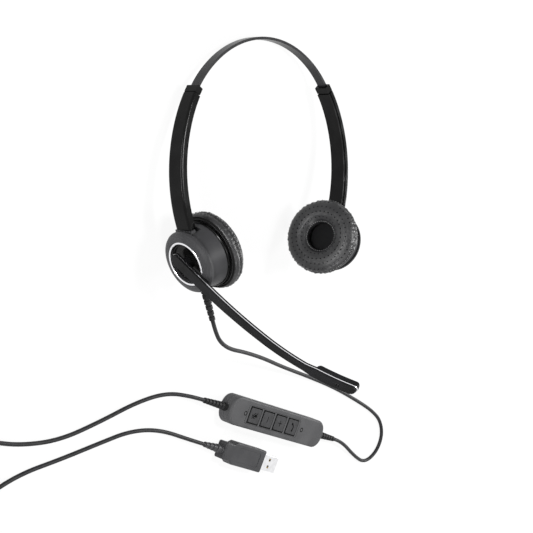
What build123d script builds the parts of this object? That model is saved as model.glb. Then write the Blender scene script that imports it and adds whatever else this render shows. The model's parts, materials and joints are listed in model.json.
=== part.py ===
from build123d import *
import os
from math import cos, degrees, pi, radians, sin, tan

os.makedirs("parts", exist_ok=True)

# ---------------------------------------------------------------- driving dimensions, in millimetres
running_gap = 0.05            # radial clearance of a pin or a spigot in its bore
slide_gap = 0.15              # clearance of a sliding piece in its guide
body_gap = 0.3                # clearance between pieces that move past each other

# headband: a coated spring strip, drawn as tangent arcs from the crown down to one side
band_width = 6.4
band_thickness = 1.8
crown_radius = 80.0
crown_turn = 41.0
shoulder_radius = 68.0
shoulder_turn = 12.3
tail_bend_radius = 30.0
tail_bend_turn = 9.5
tail_length = 17.0            # straight end of the strip, inside the arm
stop_length = 4.5
stop_width = 8.6

# arms
arm_width_top = 10.8
arm_width_foot = 12.6
arm_thickness = 5.6
arm_seam = 0.75               # the seam lies this far inside the arm's middle surface
arm_cover_inset = 0.5
arm_edge = 1.5
arm_upper_radius = 86.0
arm_upper_turn = 12.0
arm_lower_radius = 96.0
arm_lower_turn = 41.7
arm_foot = 4.6
right_extension = 2.5         # how far the right arm is drawn out as it lies
collar_length = 5.0
collar_play = 0.56
collar_inset = 0.6
collar_line = 0.5             # open line between the collar and the arm
line_inset = 0.5

# ear cups, measured from the outer face at 0 towards the head
disc_radius = 20.8
disc_edge = 3.2
disc_back = 4.3
recess_radius = 13.2
recess_floor = 4.2
floor_thickness = 1.3
ring_width = 1.3
ring_seat = 1.0
neck_radius = 19.4
housing_front = 6.2
housing_back = 16.5
housing_front_radius = 19.4
housing_back_radius = 21.2
housing_wall = 1.5
plate_radius = 22.2
plate_thickness = 1.7
cloth_ledge = 0.9
plate_opening = 12.4
cushion_radius = 26.8
cushion_hole = 11.4
cushion_thickness = 12.0
cushion_round = 4.6
driver_radius = 15.4
magnet_radius = 8.2
magnet_depth = 3.5

# cup joint: a knuckle with a cross pin for the tilt and an upright stem for the swivel
pin_height = 13.0             # above the cup's centre
pin_depth = 7.7
pin_radius = 1.1
pin_length = 14.8
barrel_radius = 2.8
barrel_length = 7.6
stem_radius = 1.8
stem_reach = 17.0
boot_radius = 20.4            # of the boot's underside, around the cup
boot_half = 7.4
boot_front = 5.0
boot_back = 8.6
flange_radius = 2.2
flange_height = 1.0
foot_height = 21.1            # of the arm's foot above the cup's centre
scoop_depth = 13.2            # recess in the housing behind the foot
scoop_start = 18.0
scoop_half = 7.4
left_swivel = 4.0
right_swivel = 14.0

# boom
boom_angle = 39.4             # below the straight-ahead direction
boom_thickness = 3.2
boom_heel = 9.4               # how far the boom reaches behind the axis of its hub
boom_root_width = 8.0
boom_neck_width = 4.8
boom_pod_width = 7.0
boom_pod_length = 27.0
boom_pod_bulge = 2.6           # how much thicker the pod is on the head side
boom_straight = 22.0
boom_bends = ((350.0, 8.2), (160.0, 23.3))
trim_thickness = 0.5
spigot_radius = 3.0
boss_radius = 4.0
boom_screw_radius = 1.2
boom_screw_head = 3.4
washer_radius = 5.0
washer_thickness = 0.5
capsule_radius = 2.0
capsule_length = 1.4
mic_share = 0.8
trim_proud = 0.12

# cord and its strain reliefs
cord_diameter = 2.8
relief_radius = 2.9
relief_tip = 2.0
relief_length = 27.0
relief_rings = 7
relief_groove = 0.6

# control box, on the surface
box_place = (57.0, -180.5, -22.0)     # middle of its underside and its heading
box_length = 120.0
box_width = 21.0
box_height = 11.5
box_split = 5.2
box_wall = 1.6
box_skin = 1.4
box_corner = 9.0
box_edge = 1.6
key_names = ("mute_key", "volume_down_key", "volume_up_key", "call_key")
key_spacing = 3.8             # between two keys' sides
key_length = 12.4
key_width = 10.8
key_middle = -7.6             # the keys' middle, along the box from its centre
key_gap = 0.25
key_proud = 0.5
key_travel = 0.6
key_flange = 0.9
key_flange_thickness = 0.8
board_height = 6.0
board_thickness = 1.2
board_end_gap = 12.0          # from the box's end to the board's
board_width = 14.5
switch_size = 4.6
switch_height = 1.1
light_radius = 1.1
light_places = (-43.0, 30.4)
box_cord_height = 5.4
box_relief_length = 26.0

# plug, on the surface
plug_front = (65.5, -217.5, -23.2)    # the open end of the plug's shell and its heading
grip_length = 49.0
grip_width = 16.6
grip_height = 8.6
grip_neck_length = 9.0
grip_neck_width = 12.6
grip_edge = 1.1
panel_depth = 0.25
shell_length = 19.5
shell_buried = 6.0
shell_width = 12.0
shell_height = 4.5
shell_wall = 0.35
window = 2.2
window_place = 9.5
window_side = 2.6
tongue_height = 1.9
tongue_length = 17.0
contact_pitch = 2.3
contact_width = 1.2
contact_thickness = 0.2
plug_relief_radius = 3.3
plug_relief_length = 21.0

# cord: where each stretch lies, point by point
exit_run = 9.0
box_run = 13.0
plug_run = 13.0
floor = cord_diameter / 2
headset_cord_route = [
    (-45.5, -95.5, 36.0), (-31.0, -103.0, 32.0), (-10.0, -110.0, 26.5), (21.0, -122.0, 18.5),
    (56.0, -137.5, 9.5), (95.0, -153.5, 3.4), (135.0, -171.0, floor), (170.0, -189.5, floor),
    (191.5, -202.0, floor), (205.5, -213.5, floor), (211.0, -228.5, floor), (204.5, -241.5, floor),
    (189.5, -246.5, floor), (173.0, -236.5, 1.9),
]
box_cord_route = [
    (-56.0, -137.8, floor), (-84.0, -138.8, floor), (-116.0, -145.5, floor), (-150.0, -150.5, floor),
    (-182.0, -148.5, floor), (-206.0, -141.5, 1.9), (-222.0, -140.4, 2.3),
]
plug_cord_route = [
    (-60.0, -163.0, floor), (-88.0, -158.0, floor), (-115.0, -160.4, floor), (-148.0, -163.6, floor),
    (-180.0, -165.5, floor), (-206.0, -170.6, 1.9), (-222.0, -171.6, 2.3),
]

# coil of the cord that is put away
coil_centre = (-233.0, -156.0)
coil_radius = 15.6            # to the middle of its turns
coil_half_width = 5.8
coil_low = 0.9
coil_height = 8.0
tie_turn = 26.0               # how much of the ring the tie covers, in degrees
tie_thickness = 0.8

# how it lies: on its back, the crown and both cushions on the surface
lean = 9.9
roll = -1.3


# ---------------------------------------------------------------- helpers
def heading(angle):
    """Unit vector of a heading, measured clockwise from +X."""
    return Vector(cos(radians(angle)), -sin(radians(angle)))


def chain(start, angle, bends, offset):
    """Tangent clockwise arcs, each bend a radius and a turn, drawn at an offset to the left."""
    point = Vector(*start) + heading(angle - 90) * offset
    for radius, turn in bends:
        arc = JernArc(point, heading(angle), radius + offset, -turn)
        point = arc @ 1
        angle += turn
    return point, angle


def chain_end(start, angle, bends):
    """Where a chain of arcs ends, and with which heading."""
    with BuildLine(mode=Mode.PRIVATE):
        return chain(start, angle, bends, 0)


def ribbon(start, angle, bends, outer, inner, straight=0.0):
    """Face between two offsets of a chain of arcs, with a straight end."""
    with BuildSketch(mode=Mode.PRIVATE) as face:
        with BuildLine():
            first = Vector(*start) + heading(angle - 90) * outer
            last = Vector(*start) + heading(angle - 90) * inner
            outer_end, end_angle = chain(start, angle, bends, outer)
            inner_end, _ = chain(start, angle, bends, inner)
            if straight:
                Line(outer_end, outer_end + heading(end_angle) * straight)
                Line(inner_end, inner_end + heading(end_angle) * straight)
                outer_end = outer_end + heading(end_angle) * straight
                inner_end = inner_end + heading(end_angle) * straight
            Line(outer_end, inner_end)
            Line(first, last)
        make_face()
    return face.sketch


def turned(points):
    """Solid of revolution about Z from radius and height pairs."""
    with BuildPart(mode=Mode.PRIVATE) as solid:
        with BuildSketch(Plane.XZ):
            with BuildLine():
                Polyline(*points, close=True)
            make_face()
        revolve(axis=Axis.Z)
    return solid.part


def relief_points(base, tip, length, rings, groove):
    """Radius and height pairs of a tapered, ringed strain relief round a cord."""
    outline = [(0, 0)]
    pitch = length / rings
    for ring in range(rings):
        outer = base + (tip - base) * ring / (rings - 1)
        low = ring * pitch
        outline.append((outer, low))
        outline.append((outer, low + pitch * 0.62))
        outline.append((outer - groove, low + pitch * 0.66))
        outline.append((outer - groove, low + pitch * 0.96))
    outline.append((0, length))
    return outline


headset = {}
loose = {}


def keep(shape, name, location=Location()):
    """Add one finished piece of the headset, placed in the upright headset frame."""
    headset[name] = location * shape


# ---------------------------------------------------------------- headband spring and its end stops
band_bends = (
    (crown_radius, crown_turn), (shoulder_radius, shoulder_turn), (tail_bend_radius, tail_bend_turn),
)
tail_start, tail_angle = chain_end((0, 0), 0, band_bends)
half_band = band_thickness / 2

with BuildPart() as band:
    with BuildSketch():
        add(ribbon((0, 0), 0, band_bends, half_band, -half_band, tail_length))
        mirror(about=Plane.YZ)
    extrude(amount=band_width / 2, both=True)
keep(band.part, "headband_spring")

tail_frame = Plane(origin=tail_start, x_dir=heading(tail_angle), z_dir=(0, 0, 1))
with BuildPart() as stops:
    with BuildSketch(tail_frame):
        with Locations((tail_length + stop_length / 2, 0)):
            Rectangle(stop_length, band_thickness)
    extrude(amount=stop_width / 2, both=True)
    mirror(about=Plane.YZ)
keep(stops.part, "band_end_stops")

# ---------------------------------------------------------------- arms, right side, mirrored for the left
arm_start, arm_angle = chain_end((0, 0), 0, band_bends[:2])
arm_bends = ((arm_upper_radius, arm_upper_turn), (arm_lower_radius, arm_lower_turn))
lower_start, lower_angle = chain_end(arm_start, arm_angle, arm_bends)
foot = lower_start + heading(lower_angle) * arm_foot
foot_angle = lower_angle
half_arm = arm_thickness / 2
collar_turn = degrees(collar_length / arm_upper_radius)
line_turn = degrees(collar_line / arm_upper_radius)
collar_end, collar_angle = chain_end(arm_start, arm_angle, ((arm_upper_radius, collar_turn),))
shell_start, shell_angle = chain_end(collar_end, collar_angle, ((arm_upper_radius, line_turn),))
shell_bends = (
    (arm_upper_radius, arm_upper_turn - collar_turn - line_turn), (arm_lower_radius, arm_lower_turn),
)


def arm_width_mask(inset):
    """Front outline of the arm, a little wider at the foot, narrowed by an inset."""
    top = arm_start.Y + 10
    low = foot.Y - 10
    slope = (arm_width_foot - arm_width_top) / (arm_start.Y - foot.Y)
    top_half = arm_width_top / 2 - slope * 5 - inset
    low_half = arm_width_foot / 2 + slope * 5 - inset
    with BuildSketch(Plane.YZ, mode=Mode.PRIVATE) as mask:
        with BuildLine():
            Polyline((top, top_half), (low, low_half), (low, -low_half), (top, -top_half), close=True)
        make_face()
    return mask.sketch


stop_slot = tail_length + stop_length + body_gap
swivel_axis = Plane(origin=foot, x_dir=(0, 0, 1), z_dir=-heading(foot_angle))
pin_drop = foot_height - pin_height
stem_end = stem_reach - pin_drop

with BuildPart() as arm_cavity:
    with BuildSketch(tail_frame):
        with Locations((stop_slot / 2, 0)):
            Rectangle(stop_slot, band_thickness + 2 * body_gap)
    extrude(amount=stop_width / 2 + slide_gap, both=True)
    with BuildSketch(swivel_axis):
        Circle(stem_radius + running_gap)
    extrude(amount=stem_end + body_gap)
    with BuildSketch(swivel_axis.offset(stem_end - flange_height - body_gap)):
        Circle(flange_radius + 0.1)
    extrude(amount=flange_height + 2 * body_gap)

with BuildPart() as arm_shell:
    with BuildSketch():
        add(ribbon(shell_start, shell_angle, shell_bends, half_arm, -arm_seam, arm_foot))
    extrude(amount=arm_width_foot, both=True)
    extrude(arm_width_mask(0), amount=200, mode=Mode.INTERSECT)
    outer_faces = arm_shell.faces().filter_by(lambda face: face.normal_at().X > 0.5)
    long_edges = [edge for edge in outer_faces.edges() if abs(edge.center().Z) > arm_width_top / 2 - 1]
    fillet(long_edges, arm_edge)
    add(arm_cavity.part, mode=Mode.SUBTRACT)

with BuildPart() as arm_cover:
    with BuildSketch():
        add(ribbon(shell_start, shell_angle, shell_bends, -arm_seam, -half_arm, arm_foot))
    extrude(amount=arm_width_foot, both=True)
    extrude(arm_width_mask(arm_cover_inset), amount=200, mode=Mode.INTERSECT)
    add(arm_cavity.part, mode=Mode.SUBTRACT)

collar_half = half_arm - collar_inset / 2
with BuildPart() as arm_collar:
    with BuildSketch():
        collar_bend = ((arm_upper_radius, collar_turn),)
        add(ribbon(arm_start, arm_angle, collar_bend, collar_half, -collar_half))
    extrude(amount=arm_width_top / 2 - collar_inset, both=True)
    fillet(arm_collar.edges().filter_by(Axis.Z), 0.5)
    with BuildSketch():
        line_bend = ((arm_upper_radius, collar_turn + line_turn),)
        add(ribbon(arm_start, arm_angle, line_bend, collar_half - line_inset, line_inset - collar_half))
    extrude(amount=arm_width_top / 2 - collar_inset - line_inset, both=True)
    with BuildSketch(tail_frame):
        with Locations((collar_length / 2, 0)):
            Rectangle(4 * collar_length, band_thickness + 2 * collar_play)
    extrude(amount=band_width / 2 + slide_gap, both=True, mode=Mode.SUBTRACT)

drawn_out = Location(heading(tail_angle) * right_extension)
for piece, name in ((arm_shell, "arm_shell"), (arm_cover, "arm_cover"), (arm_collar, "arm_collar")):
    keep(piece.part, f"right_{name}", drawn_out)
    keep(mirror(piece.part, about=Plane.YZ), f"left_{name}")

# ---------------------------------------------------------------- ear cups, in a frame of their own
# x to the crown, y to one side, z from the outer face at 0 towards the head
pocket_half = barrel_length / 2 + body_gap
pocket_start = pin_height - barrel_radius - body_gap
pocket_back = pin_depth + barrel_radius + 0.9
pocket_wall = 1.0
ear_half = pin_length / 2 + 0.2
housing_slope = (housing_back_radius - housing_front_radius) / (housing_back - housing_front)
inner_front = housing_front + housing_wall
notch_depth = 5.4
notch_half = 8.0
gland_y = 2.0
gland_z = pin_depth + 0.6
ring_proud = 0.35

outer_cover_outline = (
    (spigot_radius + running_gap, recess_floor),
    (recess_radius + 0.2, recess_floor),
    (recess_radius + 0.2, ring_seat),
    (recess_radius + 0.3 + ring_width, ring_seat),
    (recess_radius + 0.3 + ring_width, 0.3),
    (recess_radius + 1.2 + ring_width, 0.0),
    (disc_radius - 2.4, 0.9),
    (disc_radius - 0.7, 2.0),
    (disc_radius, disc_edge),
    (disc_radius, disc_back - 0.3),
    (disc_radius - 0.3, disc_back),
    (neck_radius, disc_back),
    (neck_radius, housing_front),
    (neck_radius - 1.6, housing_front),
    (neck_radius - 1.6, recess_floor + floor_thickness),
    (spigot_radius + running_gap, recess_floor + floor_thickness),
)
with BuildPart() as outer_cover:
    add(turned(outer_cover_outline))
    with BuildSketch(Plane.XY.offset(disc_back)):
        with Locations((pocket_start + 10, 0)):
            Rectangle(20, 2 * ear_half)
        with Locations((-neck_radius - 1.6 + notch_depth / 2, 0)):
            Rectangle(notch_depth, 2 * notch_half)
    extrude(amount=4, mode=Mode.SUBTRACT)

post_radius = 1.7
post_circle = 17.2
screw_radius = 0.8
housing_outline = (
    (7.0, housing_front),
    (housing_front_radius, housing_front),
    (housing_back_radius, housing_back),
    (housing_back_radius - housing_wall, housing_back),
    (housing_front_radius - housing_wall + housing_slope * housing_wall, inner_front),
    (7.0, inner_front),
)
with BuildPart() as cone_housing:
    add(turned(housing_outline))
    with BuildSketch(Plane.XY.offset(inner_front)):
        with PolarLocations(post_circle, 4, start_angle=45):
            Circle(post_radius)
    extrude(amount=housing_back - inner_front)
    with BuildSketch(Plane.XY.offset(housing_front)):
        with Locations((pocket_start - pocket_wall, 0)):
            Rectangle(12, 2 * ear_half, align=(Align.MIN, Align.CENTER))
        Circle(housing_front_radius - 0.4, mode=Mode.INTERSECT)
    extrude(amount=pocket_back + pocket_wall - housing_front)
    with BuildSketch(Plane.XY.offset(housing_front)):
        with Locations((scoop_start - 1.8, 0)):
            Rectangle(6, 2 * scoop_half + 3, align=(Align.MIN, Align.CENTER))
        Circle(housing_front_radius - 0.2, mode=Mode.INTERSECT)
    extrude(amount=scoop_depth + 1 - housing_front)
    with BuildSketch(Plane.XY.offset(housing_front)):
        with Locations((scoop_start, 0)):
            Rectangle(6, 2 * scoop_half, align=(Align.MIN, Align.CENTER))
    extrude(amount=scoop_depth - housing_front, mode=Mode.SUBTRACT)
    with BuildSketch(Plane.XY.offset(housing_front)):
        with Locations((pocket_start, 0)):
            Rectangle(20, 2 * pocket_half, align=(Align.MIN, Align.CENTER))
    extrude(amount=pocket_back - housing_front, mode=Mode.SUBTRACT)
    with BuildSketch(Plane.XZ):
        with Locations((pin_height, pin_depth)):
            Circle(pin_radius)
    extrude(amount=pin_length / 2, both=True, mode=Mode.SUBTRACT)
    with BuildSketch(Plane.XY.offset(housing_front)):
        with PolarLocations(post_circle, 4, start_angle=45):
            Circle(screw_radius)
    extrude(amount=housing_back, mode=Mode.SUBTRACT)
    with BuildSketch(Plane.YZ.offset(-housing_back_radius - 1)):
        with Locations((gland_y, gland_z)):
            Circle(relief_radius + 0.02)
    extrude(amount=5.5, mode=Mode.SUBTRACT)

with BuildPart() as pivot_pin:
    with BuildSketch(Plane.XZ):
        with Locations((pin_height, pin_depth)):
            Circle(pin_radius)
    extrude(amount=pin_length / 2, both=True)

with BuildPart() as knuckle:
    with BuildSketch(Plane.XZ):
        with Locations((pin_height, pin_depth)):
            Circle(barrel_radius)
    extrude(amount=barrel_length / 2, both=True)
    with BuildSketch(Plane.YZ.offset(pin_height)):
        with Locations((0, pin_depth)):
            Circle(stem_radius)
    extrude(amount=stem_reach)
    with BuildSketch(Plane.XY.offset(boot_front)):
        with Locations((boot_radius - boot_half, 0)):
            Rectangle(
                foot_height - body_gap - boot_radius + boot_half, 2 * boot_half,
                align=(Align.MIN, Align.CENTER),
            )
        Circle(boot_radius, mode=Mode.SUBTRACT)
    extrude(amount=boot_back - boot_front)
    with BuildSketch(Plane.YZ.offset(pin_height + stem_reach - flange_height - body_gap / 2)):
        with Locations((0, pin_depth)):
            Circle(flange_radius)
    extrude(amount=flange_height)
    with BuildSketch(Plane.XZ):
        with Locations((pin_height, pin_depth)):
            Circle(pin_radius + running_gap)
    extrude(amount=barrel_length, both=True, mode=Mode.SUBTRACT)

plate_back = housing_back + plate_thickness
ledge_height = plate_back - cloth_ledge
cloth_radius = plate_opening + 1.4
screw_head_depth = 1.0
with BuildPart() as cushion_plate:
    add(turned((
        (plate_opening, housing_back),
        (plate_radius - 0.4, housing_back),
        (plate_radius, housing_back + 0.4),
        (plate_radius, plate_back - 0.6),
        (plate_radius - 0.6, plate_back),
        (cloth_radius + 0.1, plate_back),
        (cloth_radius + 0.1, ledge_height),
        (plate_opening, ledge_height),
    )))
    with BuildSketch(Plane.XY.offset(housing_back)):
        with PolarLocations(post_circle, 4, start_angle=45):
            Circle(screw_radius)
    extrude(amount=plate_thickness, mode=Mode.SUBTRACT)
    with BuildSketch(Plane.XY.offset(plate_back - screw_head_depth)):
        with PolarLocations(post_circle, 4, start_angle=45):
            Circle(1.6)
    extrude(amount=screw_head_depth, mode=Mode.SUBTRACT)

with BuildPart() as housing_screws:
    with BuildSketch(Plane.XY.offset(inner_front + 1)):
        with PolarLocations(post_circle, 4, start_angle=45):
            Circle(screw_radius)
    extrude(amount=plate_back - screw_head_depth - inner_front - 1)
    with BuildSketch(Plane.XY.offset(plate_back - screw_head_depth)):
        with PolarLocations(post_circle, 4, start_angle=45):
            Circle(1.5)
    extrude(amount=screw_head_depth - 0.1)

frame_back = 12.7
speaker_frame = turned((
    (6.0, frame_back),
    (magnet_radius, frame_back),
    (driver_radius, housing_back - 1.4),
    (driver_radius, housing_back),
    (driver_radius - 0.8, housing_back),
    (driver_radius - 0.8, housing_back - 1.1),
    (driver_radius - 1.8, housing_back - 1.1),
    (magnet_radius - 0.4, frame_back + 0.8),
    (6.0, frame_back + 0.8),
))
magnet = turned(((0, frame_back - magnet_depth), (magnet_radius, frame_back - magnet_depth),
                 (magnet_radius, frame_back), (0, frame_back)))
diaphragm = turned(((0, housing_back - 0.5), (6.0, housing_back - 0.2),
                    (driver_radius - 0.9, housing_back - 0.8),
                    (driver_radius - 0.9, housing_back - 1.1), (driver_radius - 1.8, housing_back - 1.1),
                    (6.0, housing_back - 0.5), (0, housing_back - 0.8)))
speaker_cloth = turned(((0, ledge_height), (cloth_radius, ledge_height), (cloth_radius, plate_back - 0.2),
                        (0, plate_back - 0.2)))

cushion_low = plate_back
cushion_middle = (cushion_hole + cushion_radius) / 2
with BuildPart() as cushion:
    with BuildSketch(Plane.XZ):
        with Locations((cushion_middle, cushion_low + cushion_thickness / 2)):
            RectangleRounded(cushion_radius - cushion_hole, cushion_thickness, cushion_round)
    revolve(axis=Axis.Z)

chrome_ring = turned((
    (recess_radius + 0.25, ring_seat), (recess_radius + 0.25, -0.1), (recess_radius + 0.5, -ring_proud),
    (recess_radius + ring_width, -ring_proud), (recess_radius + 0.25 + ring_width, -0.1),
    (recess_radius + 0.25 + ring_width, ring_seat),
))
seat_height = 1.2
hub_seat = turned((
    (spigot_radius + running_gap, recess_floor - seat_height),
    (recess_radius - 1.4, recess_floor - seat_height),
    (recess_radius - 1.0, recess_floor - seat_height - 1.0),
    (recess_radius - 0.4, recess_floor - seat_height - 1.0),
    (recess_radius, recess_floor - seat_height),
    (recess_radius, recess_floor),
    (spigot_radius + running_gap, recess_floor),
))
centre_cap = turned((
    (0, 0.2), (8.0, 0.4), (recess_radius - 0.8, 0.9), (recess_radius, 1.6), (recess_radius, recess_floor),
    (spigot_radius, recess_floor), (spigot_radius, recess_floor + floor_thickness),
    (0, recess_floor + floor_thickness),
))

# the pivot frame: at the cross pin, z towards the head and x up the stem
down = heading(foot_angle)
cup_frames = {}
for side, sign, swivel, shift in (
    ("left", -1, left_swivel, Location()),
    ("right", 1, right_swivel, drawn_out),
):
    up = Vector(-down.X * sign, -down.Y)
    inward = Vector(down.Y * sign, -down.X)
    pin = Vector(foot.X * sign, foot.Y) - up * pin_drop
    pivot = Plane(origin=pin, x_dir=up, z_dir=inward).location
    turn = Location((0, 0, 0), (swivel * sign, 0, 0))
    cup_frames[side] = shift * pivot * turn * Location((-pin_height, 0, -pin_depth))
    for piece, name in (
        (outer_cover.part, "outer_cover"), (cone_housing.part, "cone_housing"),
        (pivot_pin.part, "pivot_pin"), (knuckle.part, "knuckle"), (cushion_plate.part, "cushion_plate"),
        (housing_screws.part, "housing_screws"), (speaker_frame, "speaker_frame"),
        (magnet, "speaker_magnet"), (diaphragm, "speaker_diaphragm"),
        (speaker_cloth, "speaker_cloth"), (cushion.part, "ear_cushion"), (chrome_ring, "chrome_ring"),
    ):
        keep(piece, f"{side}_{name}", cup_frames[side])
keep(hub_seat, "boom_seat", cup_frames["left"])
keep(centre_cap, "right_centre_cap", cup_frames["right"])

# ---------------------------------------------------------------- boom, in a frame of its own
# x along the boom from the middle of its hub, y across it, z towards the head
half_boom = boom_thickness / 2
boom_middle = -ring_proud - body_gap - half_boom
side_view = Plane(origin=(0, 0, 0), x_dir=(1, 0, 0), z_dir=(0, 1, 0))
bend_start = Vector(boom_straight, -boom_middle)
boom_end, _ = chain_end(bend_start, 0, boom_bends)
boom_tip = boom_end.X - 0.4
pod_start = boom_tip - boom_pod_length
mic_bends = (boom_bends[0], (boom_bends[1][0], boom_bends[1][1] * mic_share))
mic_point, mic_angle = chain_end(bend_start, 0, mic_bends)
mic_plane = Plane(
    origin=(mic_point.X, 0, -mic_point.Y),
    x_dir=(cos(radians(mic_angle)), 0, sin(radians(mic_angle))),
    z_dir=(sin(radians(mic_angle)), 0, -cos(radians(mic_angle))),
)


def boom_plan(inset):
    """Outline of the boom seen along its hub's axis."""
    with BuildSketch(mode=Mode.PRIVATE) as plan:
        with BuildSketch(mode=Mode.PRIVATE) as blade:
            with BuildLine():
                side = (
                    (inset - boom_heel, boom_root_width / 2 - inset),
                    (pod_start - 5, boom_neck_width / 2 - inset),
                    (pod_start + 2, boom_pod_width / 2 - inset),
                    (boom_tip - inset, boom_pod_width / 2 - inset),
                )
                Polyline(*side, *[(x, -y) for x, y in reversed(side)], close=True)
            make_face()
            fillet(blade.vertices().group_by(Axis.X)[-1], boom_pod_width / 2 - 0.6)
            fillet(blade.vertices().group_by(Axis.X)[0], boom_root_width / 2 - 0.6)
            fillet(blade.vertices().filter_by_position(Axis.X, pod_start - 6, pod_start + 3), 8)
        add(blade.sketch)
    return plan.sketch


def boom_layer(outer, inner, inset):
    """One layer of the boom between two offsets from its middle surface."""
    with BuildPart(mode=Mode.PRIVATE) as layer:
        with BuildSketch(side_view):
            add(ribbon(bend_start, 0, boom_bends, outer, inner))
            with Locations((boom_straight, -boom_middle + inner)):
                Rectangle(boom_straight + boom_heel + 1, outer - inner, align=(Align.MAX, Align.MIN))
        extrude(amount=10, both=True)
        extrude(boom_plan(inset), amount=100, both=True, mode=Mode.INTERSECT)
        with BuildSketch(mic_plane):
            Circle(capsule_radius + running_gap)
        extrude(amount=capsule_length / 2, both=True, mode=Mode.SUBTRACT)
    return layer.part


half_trim = trim_thickness / 2
seat_top = recess_floor - seat_height
floor_back = recess_floor + floor_thickness
with BuildPart() as boom_outer_shell:
    add(boom_layer(half_boom, half_trim, trim_proud))
    with BuildSketch(mic_plane):
        for angle in (45, 135):
            SlotOverall(2 * capsule_radius - 0.4, 0.6, rotation=angle)
    extrude(amount=boom_thickness, mode=Mode.SUBTRACT)

with BuildPart() as pod_bulge:
    with BuildSketch(side_view) as hump:
        add(ribbon(bend_start, 0, boom_bends, -half_trim, -half_boom - boom_pod_bulge))
        with Locations((pod_start + 1, 0)):
            Rectangle(200, 400, align=(Align.MIN, Align.CENTER), mode=Mode.INTERSECT)
        corners = hump.vertices().sort_by(Axis.X)
        fillet([corners[:2].sort_by(Axis.Y)[0], corners[-2:].sort_by(Axis.Y)[0]], boom_pod_bulge)
    extrude(amount=10, both=True)
    extrude(boom_plan(trim_proud), amount=100, both=True, mode=Mode.INTERSECT)
    with BuildSketch(mic_plane):
        Circle(capsule_radius + running_gap)
    extrude(amount=capsule_length / 2, both=True, mode=Mode.SUBTRACT)

with BuildPart() as boom_inner_shell:
    add(boom_layer(-half_trim, -half_boom, trim_proud))
    add(pod_bulge.part)
    with BuildSketch(Plane.XY.offset(boom_middle + half_boom - 0.2)):
        Circle(boss_radius)
    extrude(amount=seat_top - 0.1 - boom_middle - half_boom + 0.2)
    with BuildSketch(Plane.XY.offset(seat_top - 0.2)):
        Circle(spigot_radius)
    extrude(amount=floor_back + running_gap - seat_top + 0.2)
    with BuildSketch(Plane.XY.offset(0)):
        Circle(boom_screw_radius)
    extrude(amount=20, mode=Mode.SUBTRACT)

boom_trim = boom_layer(half_trim, -half_trim, 0)

with BuildPart() as mic_capsule:
    with BuildSketch(mic_plane):
        Circle(capsule_radius)
    extrude(amount=capsule_length / 2, both=True)

washer_back = floor_back + 2 * running_gap + washer_thickness
boom_washer = turned((
    (boom_screw_radius, floor_back + 2 * running_gap), (washer_radius, floor_back + 2 * running_gap),
    (washer_radius, washer_back), (boom_screw_radius, washer_back),
))
boom_screw = turned((
    (0, 0), (boom_screw_radius, 0),
    (boom_screw_radius, washer_back), (boom_screw_head, washer_back),
    (boom_screw_head, washer_back + 0.8), (boom_screw_head - 0.6, washer_back + 1.3), (0, washer_back + 1.3),
))
boom_frame = cup_frames["left"] * Plane(
    origin=(0, 0, 0), x_dir=(-sin(radians(boom_angle)), cos(radians(boom_angle)), 0), z_dir=(0, 0, 1)
).location
for piece, name in (
    (boom_outer_shell.part, "boom_outer_shell"), (boom_inner_shell.part, "boom_inner_shell"),
    (boom_trim, "boom_trim"), (mic_capsule.part, "mic_capsule"), (boom_washer, "boom_washer"),
    (boom_screw, "boom_screw"),
):
    keep(piece, name, boom_frame)

# ---------------------------------------------------------------- strain relief under the left cup
relief_start = housing_back_radius - 4.3
relief_frame = cup_frames["left"] * Plane(
    origin=(-relief_start, gland_y, gland_z), x_dir=(0, 1, 0), z_dir=(-1, 0, 0)
).location
keep(turned(relief_points(relief_radius, relief_tip, relief_length, relief_rings, relief_groove)),
     "cup_strain_relief", relief_frame)

# ---------------------------------------------------------------- the headset, laid on its back
lying = Location((0, 0, 0), (-lean, roll, 0))
box = Compound(children=[lying * piece for piece in headset.values()]).bounding_box()
rest = Location((-box.center().X, -box.center().Y, -box.min.Z)) * lying
relief_rest = rest * relief_frame
cord_exit = relief_rest * Location((0, 0, relief_length))


# ---------------------------------------------------------------- control box, in a frame of its own
# x along the box, z up from the surface
half_box = box_length / 2
key_pitch = key_length + key_spacing
key_places = [(key_middle + (index - 1.5) * key_pitch, 0) for index in range(len(key_names))]
board_length = box_length - 2 * board_end_gap
box_ceiling = box_height - box_skin
key_floor = board_height + board_thickness + switch_height + key_travel + 0.1
relief_ends = ((half_box, 1), (-half_box, -1))


def box_plan(inset):
    """Rounded outline of the control box, moved in by an inset."""
    with BuildSketch(mode=Mode.PRIVATE) as plan:
        RectangleRounded(box_length - 2 * inset, box_width - 2 * inset, box_corner - inset)
    return plan.sketch


with BuildPart() as relief_bore:
    with BuildSketch(Plane.YZ.offset(-half_box - 1)):
        with Locations((0, box_cord_height)):
            Circle(relief_radius + 0.02)
    extrude(amount=box_length + 2)

with BuildPart() as box_bottom:
    extrude(box_plan(0), amount=box_split)
    fillet(box_bottom.edges().group_by(Axis.Z)[0], box_edge)
    extrude(box_plan(box_wall).moved(Location((0, 0, box_skin))), amount=box_split, mode=Mode.SUBTRACT)
    add(relief_bore.part, mode=Mode.SUBTRACT)
    with BuildSketch(Plane.XY.offset(box_skin / 2)):
        with Locations((-board_length / 2 + 6, 0), (board_length / 2 - 6, 0)):
            Circle(1.8)
    extrude(amount=board_height - box_skin / 2)

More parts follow.
